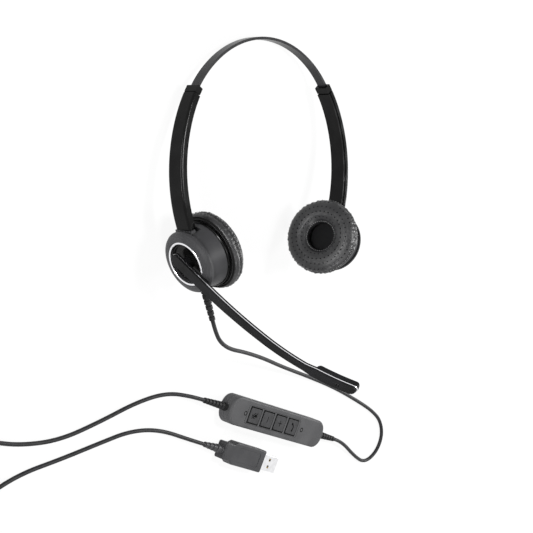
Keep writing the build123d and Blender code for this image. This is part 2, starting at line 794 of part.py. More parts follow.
with BuildPart() as box_top:
    extrude(box_plan(0).moved(Location((0, 0, box_split))), amount=box_height - box_split)
    fillet(box_top.edges().group_by(Axis.Z)[-1], box_edge)
    chamfer(box_top.edges().group_by(Axis.Z)[0], 0.2)
    hollow = box_plan(box_wall).moved(Location((0, 0, box_split)))
    extrude(hollow, amount=box_ceiling - box_split, mode=Mode.SUBTRACT)
    with BuildSketch(Plane.XY.offset(box_ceiling - 0.5)):
        with Locations(*key_places):
            RectangleRounded(key_length + 2 * key_gap, key_width + 2 * key_gap, 1.2)
        with Locations(*[(place, 0) for place in light_places]):
            Circle(light_radius + running_gap)
    extrude(amount=box_skin + 1, mode=Mode.SUBTRACT)
    with BuildSketch(Plane.XY.offset(box_height - 0.25)):
        with Locations((key_middle, 0)):
            RectangleRounded(4 * key_pitch + 2.4, key_width + 3.2, 1.6)
            RectangleRounded(4 * key_pitch + 1.6, key_width + 2.4, 1.2, mode=Mode.SUBTRACT)
    extrude(amount=1, mode=Mode.SUBTRACT)
    add(relief_bore.part, mode=Mode.SUBTRACT)

with BuildPart() as board:
    with BuildSketch(Plane.XY.offset(board_height)):
        RectangleRounded(board_length, board_width, 2)
    extrude(amount=board_thickness)
    with BuildSketch(Plane.XY.offset(board_height + board_thickness)):
        with Locations(*key_places):
            RectangleRounded(switch_size, switch_size, 0.5)
    extrude(amount=switch_height)

with BuildPart() as lights:
    with BuildSketch(Plane.XY.offset(board_height + board_thickness)):
        with Locations(*[(place, 0) for place in light_places]):
            Circle(light_radius)
    extrude(amount=box_height - 0.05 - board_height - board_thickness)

with BuildPart() as key:
    with BuildSketch(Plane.XY.offset(box_ceiling - 0.1 - key_flange_thickness)):
        Rectangle(key_length + 2 * key_flange, key_width + 2 * key_flange)
    extrude(amount=key_flange_thickness)
    with BuildSketch(Plane.XY.offset(box_ceiling - 0.2)):
        RectangleRounded(key_length, key_width, 1.0)
    extrude(amount=box_height + key_proud - box_ceiling + 0.2)
    fillet(key.edges().group_by(Axis.Z)[-1], 0.3)
    with BuildSketch(Plane.XY.offset(key_floor)):
        Circle(1.2)
    extrude(amount=box_ceiling - 0.1 - key_floor)

with BuildPart() as box_reliefs:
    for end, sign in relief_ends:
        collar = turned((
            (0, -box_wall - 1.7), (relief_radius + 0.8, -box_wall - 1.7),
            (relief_radius + 0.8, -box_wall - 0.5), (relief_radius, -box_wall - 0.5),
            (relief_radius, 0.5), (0, 0.5),
        ))
        outline = relief_points(relief_radius, relief_tip, box_relief_length, relief_rings, relief_groove)
        sleeve = turned(outline)
        place = Plane(origin=(end, 0, box_cord_height), z_dir=(sign, 0, 0)).location
        add(place * collar)
        add(place * sleeve)

box_location = Location((box_place[0], box_place[1], 0), (0, 0, box_place[2]))
for piece, name in ((box_bottom.part, "box_bottom"), (box_top.part, "box_top"), (board.part, "box_board"),
                    (lights.part, "box_lights"), (box_reliefs.part, "box_strain_reliefs")):
    loose[name] = box_location * piece
for name, (place, _) in zip(key_names, key_places):
    loose[name] = box_location * Location((place, 0, 0)) * key.part

# ---------------------------------------------------------------- plug, in a frame of its own
# x towards its open end, from the back of the grip; z up from the surface
plug_middle = grip_height / 2
with BuildPart() as plug_grip:
    with BuildSketch():
        with BuildLine():
            side = (
                (0, grip_neck_width / 2),
                (grip_neck_length, grip_neck_width / 2),
                (grip_neck_length + 3.5, grip_width / 2),
                (grip_length, grip_width / 2),
            )
            Polyline(*side, *[(x, -y) for x, y in reversed(side)], close=True)
        make_face()
        fillet(vertices(), 1.4)
    extrude(amount=grip_height)
    fillet(plug_grip.edges().group_by(Axis.Z)[-1] + plug_grip.edges().group_by(Axis.Z)[0], grip_edge)
    with BuildSketch(Plane.XY.offset(grip_height - panel_depth)):
        with Locations((grip_length / 2 + 5, 0)):
            RectangleRounded(grip_length / 2 + 2, grip_width - 6, 1.5)
    extrude(amount=1, mode=Mode.SUBTRACT)
    with BuildSketch(Plane.YZ.offset(grip_length - shell_buried)):
        with Locations((0, plug_middle)):
            RectangleRounded(shell_width, shell_height, 0.5)
    extrude(amount=shell_buried, mode=Mode.SUBTRACT)
    back = Plane(origin=(1.0, 0, plug_middle), z_dir=(-1, 0, 0)).location
    outline = relief_points(plug_relief_radius, relief_tip, plug_relief_length + 1, 5, relief_groove)
    add(back * turned(outline))

with BuildPart() as plug_shell:
    with BuildSketch(Plane.YZ.offset(grip_length - shell_buried)):
        with Locations((0, plug_middle)):
            RectangleRounded(shell_width, shell_height, 0.5)
            RectangleRounded(
                shell_width - 2 * shell_wall, shell_height - 2 * shell_wall, 0.3, mode=Mode.SUBTRACT
            )
    extrude(amount=shell_length + shell_buried)
    with BuildSketch(Plane.XY):
        with Locations(*[(grip_length + window_place, side) for side in (window_side, -window_side)]):
            Rectangle(window, window)
    extrude(amount=grip_height, mode=Mode.SUBTRACT)

tongue_low = plug_middle - shell_height / 2 + shell_wall
with BuildPart() as plug_tongue:
    with BuildSketch(Plane.YZ.offset(grip_length - shell_buried)):
        with Locations((0, tongue_low)):
            Rectangle(shell_width - 2 * shell_wall - 0.6, tongue_height, align=(Align.CENTER, Align.MIN))
    extrude(amount=tongue_length + shell_buried)

with BuildPart() as plug_contacts:
    with BuildSketch(Plane.XY.offset(tongue_low + tongue_height)):
        with Locations((grip_length + tongue_length / 2, 0)):
            with GridLocations(0, contact_pitch, 1, 4):
                Rectangle(tongue_length - 4, contact_width)
    extrude(amount=contact_thickness)

plug_tip = Vector(plug_front[0], plug_front[1])
plug_origin = plug_tip - heading(-plug_front[2]) * (grip_length + shell_length)
plug_location = Location((plug_origin.X, plug_origin.Y, 0), (0, 0, plug_front[2]))
for piece, name in ((plug_grip.part, "plug_grip"), (plug_shell.part, "plug_shell"),
                    (plug_tongue.part, "plug_tongue"), (plug_contacts.part, "plug_contacts")):
    loose[name] = plug_location * piece


# ---------------------------------------------------------------- cord
def cord_tube(route, name):
    """Round tube along straight runs joined by tangent arcs as large as the runs allow."""
    points = [Vector(*point) for point in route]
    radii = []
    for before, here, after in zip(points, points[1:], points[2:]):
        turn = (here - before).get_angle(after - here)
        shorter = min((here - before).length, (after - here).length)
        radii.append(0.45 * shorter / tan(radians(turn) / 2))
    with BuildPart(mode=Mode.PRIVATE) as tube:
        with BuildLine() as path:
            FilletPolyline(*points, radius=radii)
        with BuildSketch(Plane(origin=points[0], z_dir=points[1] - points[0])):
            Circle(cord_diameter / 2)
        sweep()
    length = path.wire().length
    expected = pi * cord_diameter ** 2 / 4 * length
    share = tube.part.volume / expected
    print(f"{name}: {length:.0f} mm long, volume {share:.3f} of its section times its length")
    print("  radii", [round(radius) for radius in radii])
    return tube.part


def point_on(location, x, y, z):
    """A point of a placed frame, in the row's own frame."""
    return tuple((location * Location((x, y, z))).position)


box_out = half_box + box_relief_length
headset_cord = [
    point_on(relief_rest, 0, 0, relief_length), point_on(relief_rest, 0, 0, relief_length + exit_run),
    *headset_cord_route,
    point_on(box_location, box_out + box_run, 0, box_cord_height - 0.8),
    point_on(box_location, box_out, 0, box_cord_height),
]
box_cord = [
    point_on(box_location, -box_out, 0, box_cord_height),
    point_on(box_location, -box_out - box_run, 0, box_cord_height - 0.8),
    *box_cord_route,
]
plug_cord = [
    point_on(plug_location, -plug_relief_length, 0, plug_middle),
    point_on(plug_location, -plug_relief_length - plug_run, 0, plug_middle - 0.8),
    *plug_cord_route,
]
loose["headset_cord"] = cord_tube(headset_cord, "headset_cord")
loose["box_cord"] = cord_tube(box_cord, "box_cord")
loose["plug_cord"] = cord_tube(plug_cord, "plug_cord")

coil_location = Location((coil_centre[0], coil_centre[1], coil_low))
with BuildPart() as coil:
    with BuildSketch(Plane.XZ):
        with Locations((coil_radius, coil_height / 2)):
            RectangleRounded(2 * coil_half_width, coil_height, 1.6)
    revolve(axis=Axis.Z)
loose["cord_coil"] = coil_location * coil.part

with BuildPart() as tie:
    with BuildSketch(Plane.XZ):
        with Locations((coil_radius, coil_height / 2)):
            RectangleRounded(2 * coil_half_width + 2 * tie_thickness, coil_height + 2 * tie_thickness, 2.4)
            RectangleRounded(2 * coil_half_width + 0.1, coil_height + 0.1, 1.6, mode=Mode.SUBTRACT)
    revolve(axis=Axis.Z, revolution_arc=tie_turn)
loose["cord_tie"] = coil_location * Location((0, 0, 0), (0, 0, 200)) * tie.part

# ---------------------------------------------------------------- every piece, written out
for name, piece in headset.items():
    loose[name] = rest * piece
for name, piece in loose.items():
    piece.label = name
    export_step(piece, f"parts/{name}.step")
print(len(loose), "nodes")

# ---------------------------------------------------------------- where the joints are
for side in ("left", "right"):
    pivot = Plane(rest * cup_frames[side] * Location((pin_height, 0, pin_depth)))
    print(f"{side} pivot {tuple(pivot.origin)} stem {tuple(pivot.x_dir)} pin {tuple(pivot.y_dir)}")
hub = Plane(rest * cup_frames["left"])
print(f"boom hub {tuple(hub.origin)} axis {tuple(hub.z_dir)}")
tail = Plane(rest * tail_frame.location)
print(f"right tail {tuple(tail.origin)} direction {tuple(tail.x_dir)}")
rest_plane = Plane(rest)
rest_axes = f"x {tuple(rest_plane.x_dir)} y {tuple(rest_plane.y_dir)} z {tuple(rest_plane.z_dir)}"
print(f"rest {tuple(rest.position)} {rest_axes}")
print(f"cord exit {tuple(cord_exit.position)} direction {tuple(Plane(cord_exit).z_dir)}")
for label, route in (("headset_cord", headset_cord), ("box_cord", box_cord), ("plug_cord", plug_cord)):
    print(label, [tuple(round(float(value), 2) for value in point) for point in route])
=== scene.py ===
import bpy
import bmesh
import json
from math import cos, hypot, pi, radians, sin
from mathutils import Matrix, Vector


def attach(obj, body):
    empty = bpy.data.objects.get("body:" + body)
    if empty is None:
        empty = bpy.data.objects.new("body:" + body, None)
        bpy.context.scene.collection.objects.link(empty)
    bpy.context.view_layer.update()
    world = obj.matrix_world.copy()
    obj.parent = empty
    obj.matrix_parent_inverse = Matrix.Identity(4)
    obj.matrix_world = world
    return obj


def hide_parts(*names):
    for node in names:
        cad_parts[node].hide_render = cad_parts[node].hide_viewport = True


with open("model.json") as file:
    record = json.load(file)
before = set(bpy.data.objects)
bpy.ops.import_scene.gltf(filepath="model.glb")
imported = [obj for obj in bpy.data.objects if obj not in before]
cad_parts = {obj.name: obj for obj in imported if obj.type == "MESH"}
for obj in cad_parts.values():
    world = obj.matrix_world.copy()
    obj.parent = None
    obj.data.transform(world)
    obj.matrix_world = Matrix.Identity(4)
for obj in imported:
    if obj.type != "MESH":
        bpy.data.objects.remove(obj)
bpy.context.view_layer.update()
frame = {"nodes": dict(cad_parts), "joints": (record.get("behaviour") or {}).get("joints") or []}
nodes = frame["nodes"]
joints = {joint["name"]: joint for joint in frame["joints"]}

# The table: a plain pale laminate top that takes the headset's shadow, and that is
# white where it is looked at, straight or in a bright piece.
scene = bpy.context.scene
scene.view_settings.view_transform = "Standard"


class Shade:
    """A value in a finish: sums and products written with it become Math nodes."""

    def __init__(self, tree, socket):
        self.tree = tree
        self.socket = socket

    def node(self, kind, settings, inputs, output=0):
        """Add any other node: its settings first, then the values or links of its sockets."""
        made = self.tree.nodes.new("ShaderNode" + kind)
        for name, value in settings.items():
            setattr(made, name, value)
        for name, value in inputs.items():
            if isinstance(value, Shade):
                self.tree.links.new(value.socket, made.inputs[name])
            else:
                made.inputs[name].default_value = value
        return Shade(self.tree, made.outputs[output])

    def maths(self, operation, *values):
        return self.node("Math", {"operation": operation}, dict(enumerate(values)))

    def __add__(self, other):
        return self.maths("ADD", self, other)

    def __radd__(self, other):
        return self.maths("ADD", other, self)

    def __sub__(self, other):
        return self.maths("SUBTRACT", self, other)

    def __rsub__(self, other):
        return self.maths("SUBTRACT", other, self)

    def __mul__(self, other):
        return self.maths("MULTIPLY", self, other)

    def __rmul__(self, other):
        return self.maths("MULTIPLY", other, self)

    def fraction(self):
        return self.maths("FRACT", self)

    def size(self):
        return self.maths("ABSOLUTE", self)

    def part(self, number):
        """One of the three parts of a place: 0 across, 1 along, 2 up."""
        return self.node("SeparateXYZ", {}, {0: self}, number)

    def between(self, low, high):
        """0 below low, 1 above high, and smooth from one to the other."""
        settings = {"interpolation_type": "SMOOTHSTEP"}
        return self.node("MapRange", settings, {0: self, 1: low, 2: high, 3: 0.0, 4: 1.0})

    def blend(self, first, second):
        """The first colour where this value is 0, and the second where it is 1."""
        colours = [colour if isinstance(colour, Shade) else (*colour, 1) for colour in (first, second)]
        return self.node("Mix", {"data_type": "RGBA"}, {0: self, 6: colours[0], 7: colours[1]}, 2)

    def seen(self):
        """1 for the rays that look at a thing, straight or by a reflection, and 0 for its light on others."""
        camera_ray = self.node("LightPath", {}, {}, "Is Camera Ray")
        glossy_ray = self.node("LightPath", {}, {}, "Is Glossy Ray")
        return camera_ray + glossy_ray + self.node("LightPath", {}, {}, "Is Transmission Ray")


class Finish:
    """One material. A colour or roughness is given only where it is the same all over."""

    def __init__(self, name, colour=None, roughness=None, metallic=0.0, mirror=0.3):
        self.material = bpy.data.materials.new(name)
        self.material.use_nodes = True
        self.tree = self.material.node_tree
        self.surface = self.tree.nodes["Principled BSDF"]
        if colour:
            self.surface.inputs["Base Color"].default_value = (*colour, 1)
        if roughness:
            self.surface.inputs["Roughness"].default_value = roughness
        self.surface.inputs["Metallic"].default_value = metallic
        self.surface.inputs["Specular IOR Level"].default_value = mirror
        self.start = Shade(self.tree, None)
        self.place = self.start.node("TexCoord", {}, {}, "Object")
        self.unwrapped = self.start.node("TexCoord", {}, {}, "UV")

    def feed(self, socket, value):
        self.tree.links.new(value.socket, self.surface.inputs[socket])

    def noise(self, cell, detail=3.0):
        """Cloudy variation from 0 to 1, with cells of a size given in metres."""
        return self.start.node("TexNoise", {}, {"Vector": self.place, "Scale": 1 / cell, "Detail": detail})

    def mottle(self, cell, first, second, low=0.3, high=0.7):
        """Let the colour drift from the first to the second in clouds of this size."""
        self.feed("Base Color", self.noise(cell).between(low, high).blend(first, second))

    def wear(self, cell, least, more, detail=3.0):
        """Let the roughness wander from its least value up by as much as this more."""
        self.feed("Roughness", self.noise(cell, detail) * more + least)

    def relief(self, height, depth, strength=1.0):
        """Raise the surface by a height from 0 to 1, times a depth in metres."""
        bump = self.start.node("Bump", {}, {"Height": height, "Strength": strength, "Distance": depth})
        self.feed("Normal", bump)

    def on(self, *pieces):
        """Give the finish to pieces, or to moulded parts of the frame by their names."""
        for piece in pieces:
            if isinstance(piece, str):
                piece = nodes[piece]
            piece.data.materials.clear()
            piece.data.materials.append(self.material)


table_size = 8
table_level = -0.0002
table_whiteness = 0.9
table_finish = Finish("table_top", (0.82, 0.82, 0.82), 0.6)
table_surface = Shade(table_finish.tree, table_finish.surface.outputs[0])
table_glow = table_finish.start.node("Emission", {}, {"Color": (1, 1, 1, 1), "Strength": 1.0})
table_white = table_finish.start.seen() * table_whiteness
table_mix = table_finish.start.node("MixShader", {}, {0: table_white, 1: table_surface, 2: table_glow})
table_finish.tree.links.new(table_mix.socket, table_finish.tree.nodes["Material Output"].inputs[0])
bpy.ops.mesh.primitive_plane_add(size=table_size, location=(0, 0, table_level))
table_top = bpy.context.object
table_top.name = "table_top"
table_finish.on(table_top)

# The room: a plain white studio. Its walls are white where they are looked at or
# mirrored, and light the headset only softly, as walls at some distance do.
room_light = 0.22
room = bpy.data.worlds.new("room")
scene.world = room
room.use_nodes = True
room_start = Shade(room.node_tree, None)
room_seen = room_start.seen()
room_dim = room_start.node("Background", {}, {"Color": (1, 1, 1, 1), "Strength": room_light})
room_white = room_start.node("Background", {}, {"Color": (1, 1, 1, 1), "Strength": 1.0})
room_mix = room_start.node("MixShader", {}, {0: room_seen, 1: room_dim, 2: room_white})
room.node_tree.links.new(room_mix.socket, room.node_tree.nodes["World Output"].inputs[0])

# The lamps: four soft boxes on stands, round the table and over it, each turned to the
# headset. Each row gives a lamp's stand, aim, power in watts, width and height.


def put(name, data):
    """Put a new thing made from this data in the scene."""
    thing = bpy.data.objects.new(name, data)
    scene.collection.objects.link(thing)
    return thing


for name, stand, aim, power, wide, tall in (
    ("left_strip_light", (-0.95, 0.10, 0.30), (0.0, 0.0, 0.03), 8.0, 0.6, 0.10),
    ("front_soft_box", (-0.35, -0.75, 0.75), (0.0, -0.1, 0.0), 5.0, 0.3, 0.15),
    ("top_soft_box", (0.30, 0.25, 1.0), (0.0, 0.0, 0.0), 9.0, 0.35, 0.2),
    ("right_soft_box", (0.9, -0.1, 0.5), (0.05, 0.0, 0.03), 6.0, 0.3, 0.15),
):
    lamp = bpy.data.lights.new(name, "AREA")
    lamp.shape = "RECTANGLE"
    lamp.energy = power
    lamp.size = wide
    lamp.size_y = tall
    holder = put(name, lamp)
    holder.location = stand
    holder.rotation_euler = (Vector(aim) - Vector(stand)).to_track_quat("-Z", "Y").to_euler()

# The camera looks down at the table by some 37 degrees, from the boom's side of the
# headset and nearly a metre away, through a long lens.
camera_data = bpy.data.cameras.new("camera")
camera_data.lens = 95.04
camera_data.sensor_width = 36.0
camera = put("camera", camera_data)
camera_place = (-0.71409, 0.17448, 0.60298)
toward = Vector((-0.75726, 0.23861, 0.60797)).normalized()
upward = Vector((0.11768, 0.96549, -0.23235))
sideways = upward.cross(toward).normalized()
upward = toward.cross(sideways)
camera.matrix_world = Matrix.Translation(camera_place) @ Matrix((
    (sideways.x, upward.x, toward.x, 0),
    (sideways.y, upward.y, toward.y, 0),
    (sideways.z, upward.z, toward.z, 0),
    (0, 0, 0, 1),
))
scene.camera = camera

# The cord from the headset to the button box: a thin black PVC jacket over four wires,
# moulded into a strain relief at each end. It leaves the left cup, comes down to the
# table past the boom's tip, and turns back to the box.
cord_diameter = 0.0028
cord_finish = Finish("cord_jacket", mirror=0.16)
cord_finish.mottle(cell=0.0035, first=(0.007, 0.007, 0.008), second=(0.015, 0.015, 0.016))
cord_finish.wear(cell=0.0012, least=0.38, more=0.2)
cord_finish.relief(cord_finish.noise(0.0005, detail=2.0), depth=0.00003, strength=0.5)


def lay_cord(name, points):
    """One smooth round cord with these points, in millimetres, as its control points."""
    line = bpy.data.curves.new(name, "CURVE")
    line.dimensions = "3D"
    line.bevel_depth = cord_diameter / 2
    line.bevel_resolution = 5
    line.resolution_u = 8
    line.use_fill_caps = True
    spline = line.splines.new("NURBS")
    spline.points.add(len(points) - 1)
    for control, point in zip(spline.points, points):
        control.co = (*[value / 1000 for value in point], 1)
    spline.order_u = 3
    spline.use_endpoint_u = True
    piece = put(name, line)
    cord_finish.on(piece)
    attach(piece, "left_cup")
    return piece


key_names = ("mute_key", "volume_down_key", "volume_up_key", "call_key")
headset_route = [
    (-55.98, -79.15, 35.68), (-53.35, -87.62, 37.22), (-45.5, -95.5, 36.0), (-31.0, -103.0, 32.0),
    (-10.0, -110.0, 26.5), (21.0, -122.0, 18.5), (56.0, -137.5, 9.5), (95.0, -153.5, 3.4),
    (135.0, -171.0, 1.4), (170.0, -189.5, 1.4), (191.5, -202.0, 1.4), (205.5, -213.5, 1.4),
    (211.0, -228.5, 1.4), (204.5, -241.5, 1.4), (189.5, -246.5, 1.4), (173.0, -236.5, 1.9),
    (148.79, -217.59, 4.6), (136.74, -212.72, 5.4),
]
headset_cord = lay_cord("headset_cord_jacket", headset_route)
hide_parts("headset_cord")

# The cord from the box to the plug: the same cord, limp enough to lie flat. The length
# that isn't needed is wound in a neat ring of a dozen turns, one beside and on another,
# and a soft strap holds it.
coil_middle = (-233.0, -156.0)
coil_turns = 12.5
steps_a_turn = 16
turn_radii = (11.35, 14.2, 17.05, 19.9)
turn_levels = (2.35, 4.95, 7.5)
turn_order = (
    (3, 0), (2, 0), (1, 0), (0, 0), (0, 1), (0, 2), (1, 2), (1, 1), (2, 1), (2, 2), (3, 2), (3, 1), (3, 1),
)
crossing_start = 0.72
plug_side_route = [
    (-22.74, -148.28, 5.4), (-34.79, -143.41, 4.6), (-56.0, -137.8, 1.4), (-84.0, -138.8, 1.4),
    (-116.0, -145.5, 1.4), (-150.0, -150.5, 1.4), (-182.0, -146.5, 1.4), (-206.0, -138.5, 1.9),
    (-222.0, -135.8, 2.3),
]
for step in range(int(coil_turns * steps_a_turn) + 1):
    turn, part = divmod(step / steps_a_turn, 1)
    column, row = turn_order[int(turn)]
    next_column, next_row = turn_order[min(int(turn) + 1, len(turn_order) - 1)]
    shift = min(max((part - crossing_start) / (1 - crossing_start), 0), 1)
    shift = shift * shift * (3 - 2 * shift)
    reach = turn_radii[column] + (turn_radii[next_column] - turn_radii[column]) * shift
    level = turn_levels[row] + (turn_levels[next_row] - turn_levels[row]) * shift
    bearing = pi / 2 + 2 * pi * step / steps_a_turn
    across = coil_middle[0] + reach * cos(bearing)
    along = coil_middle[1] + reach * sin(bearing)
    plug_side_route.append((across, along, level))
plug_side_route += [
    (-222.0, -175.4, 4.2), (-206.0, -172.6, 2.2), (-180.0, -165.5, 1.4), (-148.0, -163.6, 1.4),
    (-115.0, -160.4, 1.4), (-88.0, -158.0, 1.4), (-60.0, -163.0, 1.4), (-28.71, -177.12, 3.5),
    (-16.76, -182.24, 4.3),
]
plug_cord = lay_cord("plug_cord_jacket", plug_side_route)
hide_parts("box_cord", "plug_cord", "cord_coil")

# The strain reliefs: soft black rubber sleeves moulded over the cord, ringed so that
# they bend without kinking; the strap on the coil is of the same soft rubber.
relief_finish = Finish("relief_rubber", mirror=0.12)
relief_finish.mottle(cell=0.004, first=(0.006, 0.006, 0.006), second=(0.014, 0.014, 0.015), high=0.75)
relief_finish.wear(cell=0.001, least=0.45, more=0.2)
relief_finish.relief(relief_finish.noise(0.0004, detail=2.0), depth=0.00003, strength=0.6)
relief_finish.on("cup_strain_relief", "box_strain_reliefs", "cord_tie")

# The headband: a strip of spring steel, rounded at its edges and sprung to a head's
# curve, under a tough black powder coat that is rubbed a little glossy.
band_finish = Finish("black_coated_spring", mirror=0.2)
band_finish.mottle(cell=0.012, first=(0.009, 0.009, 0.010), second=(0.020, 0.020, 0.021), low=0.25, high=0.8)
band_finish.wear(cell=0.002, least=0.2, more=0.16, detail=4.0)
band_finish.relief(band_finish.noise(0.0006, detail=2.0), depth=0.00002, strength=0.4)
band_finish.on("headband_spring")

# The arms: two glossy black ABS mouldings each, an outer shell and an inner cover that
# snap together at a fine seam, with a collar that closes the top round the spring.
gloss_finish = Finish("gloss_black_shell", mirror=0.12)
touched = gloss_finish.noise(0.011, detail=4.0).between(0.35, 0.75)
gloss_finish.feed("Base Color", touched.blend((0.002, 0.002, 0.002), (0.004, 0.004, 0.004)))
gloss_finish.feed("Roughness", touched * 0.12 + gloss_finish.noise(0.0015) * 0.08 + 0.08)
gloss_finish.relief(gloss_finish.noise(0.009, detail=2.0), depth=0.00012, strength=0.25)


def both(*names):
    """The names of the same parts on the left and on the right."""
    return [f"{side}_{name}" for side in ("left", "right") for name in names]


gloss_finish.on(*both("arm_shell", "arm_cover", "arm_collar"))

# The satin mouldings: the stops on the ends of the spring, which keep it in the arms, and
# on each cup the domed outer cover, the cone behind it and the knuckle at its neck, all
# black ABS with a fine spark-eroded grain.
satin_finish = Finish("satin_black_moulding", mirror=0.14)
satin_grain = satin_finish.noise(0.0003, detail=2.0)
satin_finish.mottle(cell=0.02, first=(0.030, 0.030, 0.032), second=(0.042, 0.042, 0.044))
satin_finish.feed("Roughness", satin_grain * 0.14 + satin_finish.noise(0.006) * 0.1 + 0.32)
satin_finish.relief(satin_grain, depth=0.00003, strength=0.5)
satin_finish.on("band_end_stops", *both("outer_cover", "cone_housing", "knuckle"))

# The glossy rims: the plate that each cushion is drawn over, the seat that the boom turns
# in on the left cup, and the cap in its place on the right, polished black mouldings.
rim_finish = Finish("gloss_rim", mirror=0.14)
rim_finish.mottle(cell=0.006, first=(0.002, 0.002, 0.002), second=(0.005, 0.005, 0.005))
rim_finish.wear(cell=0.003, least=0.12, more=0.12)
rim_finish.on(*both("cushion_plate"), "boom_seat", "right_centre_cap")

# The bright rings: ABS rings plated with chrome, pressed into the recess of each outer
# cover; handling leaves the plating a little uneven.
chrome_finish = Finish("chrome_trim", metallic=1.0)
chrome_finish.mottle(cell=0.004, first=(0.88, 0.88, 0.9), second=(0.78, 0.78, 0.8), high=0.8)
chrome_finish.wear(cell=0.002, least=0.12, more=0.1, detail=4.0)
chrome_finish.on(*both("chrome_ring"))

# The small steel parts: zinc-plated pins, screws, washer and magnets, turned or stamped,
# and the pressed can of the microphone capsule.
steel_finish = Finish("plated_steel", metallic=1.0)
steel_finish.mottle(cell=0.003, first=(0.6, 0.6, 0.61), second=(0.46, 0.46, 0.46))
steel_finish.wear(cell=0.0008, least=0.2, more=0.3, detail=4.0)
steel_finish.on("boom_screw", "boom_washer", "mic_capsule")
steel_finish.on(*both("pivot_pin", "housing_screws", "speaker_magnet"))

# The loudspeakers: a black glass-filled nylon basket, with a clear film diaphragm glued
# to its ledge.
basket_finish = Finish("speaker_basket", (0.02, 0.02, 0.02))
basket_finish.wear(cell=0.001, least=0.5, more=0.2)
basket_finish.on(*both("speaker_frame"))
film_finish = Finish("speaker_film", (0.35, 0.35, 0.36))
film_finish.wear(cell=0.002, least=0.15, more=0.2)
film_finish.on(*both("speaker_diaphragm"))

# The cloth discs: black woven polyester in a herringbone weave, slightly domed, clamped
# behind the cushion in front of the loudspeaker. Each cup has its own frame, with its
# first line along the stem, its second along the pin, and its third towards the ear.
cup_below_pin = 0.0130
cup_behind_pin = 0.0077
cup_places = {}
for side in ("left", "right"):
    pin = joints[f"{side}_tilt"]
    stem_line = Vector(joints[f"{side}_swivel"]["axis"])
    pin_line = Vector(pin["axis"])
    inward = stem_line.cross(pin_line)
    middle = Vector(pin["pos_m"]) - cup_below_pin * stem_line - cup_behind_pin * inward
    cup_places[side] = Matrix((
        (stem_line.x, pin_line.x, inward.x, middle.x),
        (stem_line.y, pin_line.y, inward.y, middle.y),
        (stem_line.z, pin_line.z, inward.z, middle.z),
        (0, 0, 0, 1),
    ))

cloth_radius = 0.0138
cloth_level = 0.0180
cloth_dome = 0.0006
cloth_rings = (0.0, 0.25, 0.5, 0.72, 0.88, 1.0)
cloth_spokes = 64
ribs_across = 22.0
rib_slant = 5.0
zigzags_across = 8.0
threads_across = 90.0
cloth_finish = Finish("woven_cloth", mirror=0.05)
across = cloth_finish.unwrapped.part(0)
along = cloth_finish.unwrapped.part(1)
zigzag = (across * zigzags_across).fraction() - 0.5
rib = ((along * ribs_across + zigzag.size() * rib_slant).fraction() - 0.5).size() * 2.0
thread = ((across * threads_across).fraction() - 0.5).size() * 2.0
weave = rib.between(0.15, 0.85) * 0.8 + thread * 0.2
cloth_finish.feed("Base Color", weave.blend((0.001, 0.001, 0.001), (0.022, 0.022, 0.023)))
cloth_finish.feed("Roughness", weave * 0.15 + 0.75)
cloth_finish.relief(weave, depth=0.00015, strength=0.8)


def put_shapes(name, shapes):
    """Put the shapes of a mesh under way in the scene as one piece."""
    mesh = bpy.data.meshes.new(name)
    shapes.to_mesh(mesh)
    shapes.free()
    return put(name, mesh)


for side in ("left", "right"):
    disc = bmesh.new()
    sheet = disc.loops.layers.uv.new("weave")
    loops = []
    for share in cloth_rings:
        reach = cloth_radius * share
        height = cloth_level + cloth_dome * (1 - share * share)
        loop = []
        for spoke in range(cloth_spokes if share else 1):
            bearing = 2 * pi * spoke / cloth_spokes
            loop.append(disc.verts.new((reach * cos(bearing), reach * sin(bearing), height)))
        loops.append(loop)
    for inner, outer in zip(loops, loops[1:]):
        for spoke in range(cloth_spokes):
            after = (spoke + 1) % cloth_spokes
            if len(inner) == 1:
                disc.faces.new((inner[0], outer[spoke], outer[after]))
            else:
                disc.faces.new((inner[spoke], outer[spoke], outer[after], inner[after]))
    for face in disc.faces:
        face.smooth = True
        for corner in face.loops:
            corner[sheet].uv = [0.5 + corner.vert.co[line] / (2 * cloth_radius) for line in (0, 1)]
    disc.transform(cup_places[side])
    piece = put_shapes(f"{side}_cloth_weave", disc)
    cloth_finish.on(piece)
    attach(piece, f"{side}_cup")
    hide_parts(f"{side}_speaker_cloth")

# The ear cushions: foam rings in soft black leatherette, sewn at the middle of the side,
# gathered there into fine radial creases, and drawn over the plate's rim.
cushion_low = 0.0182
# radius and height, from the lip of the hole, over the crown and the sewn seam, to the back
cushion_section = (
    (0.0122, 0.0003), (0.0110, 0.0014), (0.0102, 0.0034), (0.0099, 0.0056), (0.0103, 0.0079),
    (0.0117, 0.0100), (0.0141, 0.0114), (0.0170, 0.0119), (0.0200, 0.0116), (0.0227, 0.0106),
    (0.0248, 0.0089), (0.0259, 0.0070), (0.0260, 0.0060), (0.0262, 0.0050), (0.0260, 0.0034),
    (0.0251, 0.0019), (0.0238, 0.0010), (0.0229, 0.0006),
)
cushion_spokes = 240
cushion_rows = 46
section_length = sum(hypot(b[0] - a[0], b[1] - a[1]) for a, b in zip(cushion_section, cushion_section[1:]))
nearby_share = 0.01
share_steps = 200


def section_point(share):
    """A point of the cushion's section, by its share of the way along it."""
    left = share * section_length
    for before, after in zip(cushion_section, cushion_section[1:]):
        step = hypot(after[0] - before[0], after[1] - before[1])
        if left <= step or after is cushion_section[-1]:
            part = min(left / step, 1)
            return before[0] + (after[0] - before[0]) * part, before[1] + (after[1] - before[1]) * part
        left -= step


def section_outward(share):
    """The direction square to the section at that share, away from the foam."""
    ahead = section_point(min(share + nearby_share, 1))
    behind = section_point(max(share - nearby_share, 0))
    run = hypot(ahead[0] - behind[0], ahead[1] - behind[1])
    return (behind[1] - ahead[1]) / run, (ahead[0] - behind[0]) / run


